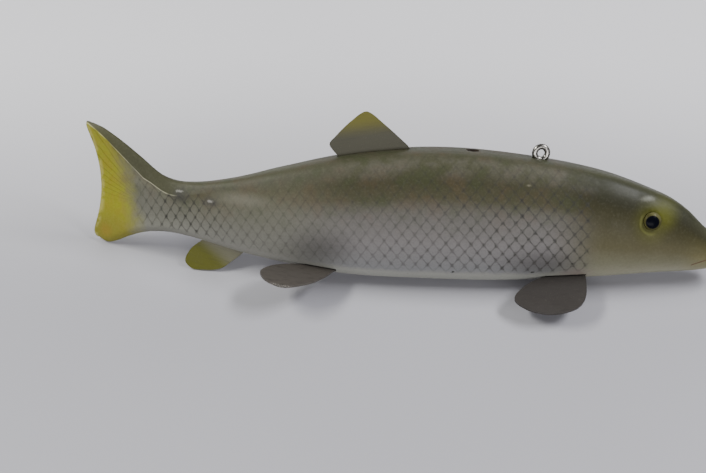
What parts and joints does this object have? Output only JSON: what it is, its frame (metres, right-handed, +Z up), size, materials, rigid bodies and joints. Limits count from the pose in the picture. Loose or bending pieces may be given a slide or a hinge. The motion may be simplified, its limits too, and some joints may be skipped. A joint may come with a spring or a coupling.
{
  "type": "fish decoy",
  "caption": "Carved and painted wooden fish decoy with sheet-metal fins, glass eyes and a screw eye on the back for its line.",
  "frame": {"origin": "middle of the bounding box, on the surface that the decoy lies on", "axes": "+X towards the nose, +Z up; the fish leans on its left side, towards +Y"},
  "size_m": [0.2624, 0.0674, 0.063],
  "materials": {
    "body_paint": "carved wood, sprayed olive over silver grey with a net of scales, yellow tail, varnished",
    "fin_tin": "thin sheet metal, brushed with dark grey and olive yellow paint, satin",
    "tie_steel": "plated steel wire, a little dulled",
    "eye_glass": "glossy glass over a dark pupil and a pale golden rim"
  },
  "bodies": {
    "root": {"body": "body_paint", "dorsal_fin": "fin_tin", "anal_fin": "fin_tin", "pectoral_fin_right": "fin_tin", "pectoral_fin_left": "fin_tin", "pelvic_fin_right": "fin_tin", "pelvic_fin_left": "fin_tin", "line_tie": "tie_steel", "eye_right": "eye_glass", "eye_left": "eye_glass"}
  },
  "joints": []
}
